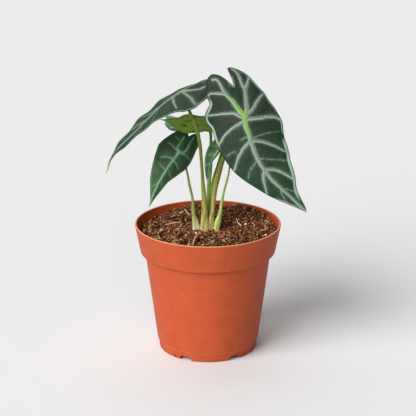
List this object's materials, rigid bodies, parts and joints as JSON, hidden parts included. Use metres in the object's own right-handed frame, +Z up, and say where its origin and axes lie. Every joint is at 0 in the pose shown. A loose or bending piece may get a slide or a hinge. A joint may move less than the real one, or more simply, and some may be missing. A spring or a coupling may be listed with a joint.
{
  "type": "potted bambino african mask plant",
  "caption": "Young tabletop plant with dark arrow-shaped leaves and pale veins on slim stalks, standing in a round plastic nursery pot filled with potting mix.",
  "frame": {"origin": "middle of the pot's underside, on the surface it stands on", "axes": "+Z up, the plant's front faces -Y, the large leaf hangs towards +X"},
  "size_m": [0.1462, 0.1134, 0.2202],
  "materials": {
    "terracotta_polypropylene": "moulded polypropylene, satin matt, terracotta orange",
    "potting_mix": "coarse damp coco and peat crumbs with bark and perlite",
    "leaf_dark": "leathery, half gloss, dark green with pale grey-green veins",
    "leaf_olive": "leathery underside, half matt, olive green mottled brown",
    "leaf_pale": "leathery, half gloss, pale blue-green with dark patches",
    "leaf_stalk": "smooth fleshy stalk, satin, paler at the foot",
    "dry_sheath": "dry papery red-brown skin"
  },
  "bodies": {
    "root": {"pot": "terracotta_polypropylene", "soil": "potting_mix", "blade_right": "leaf_dark", "blade_left": "leaf_dark", "blade_lower_left": "leaf_dark", "blade_small": "leaf_dark", "blade_back": "leaf_olive", "blade_behind": "leaf_pale", "petiole_right": "leaf_stalk", "petiole_left": "leaf_stalk", "petiole_back": "leaf_stalk", "petiole_behind": "leaf_stalk", "petiole_lower_left": "leaf_stalk", "petiole_small": "leaf_stalk", "dry_sheath_left": "dry_sheath", "dry_sheath_right": "dry_sheath"}
  },
  "joints": []
}
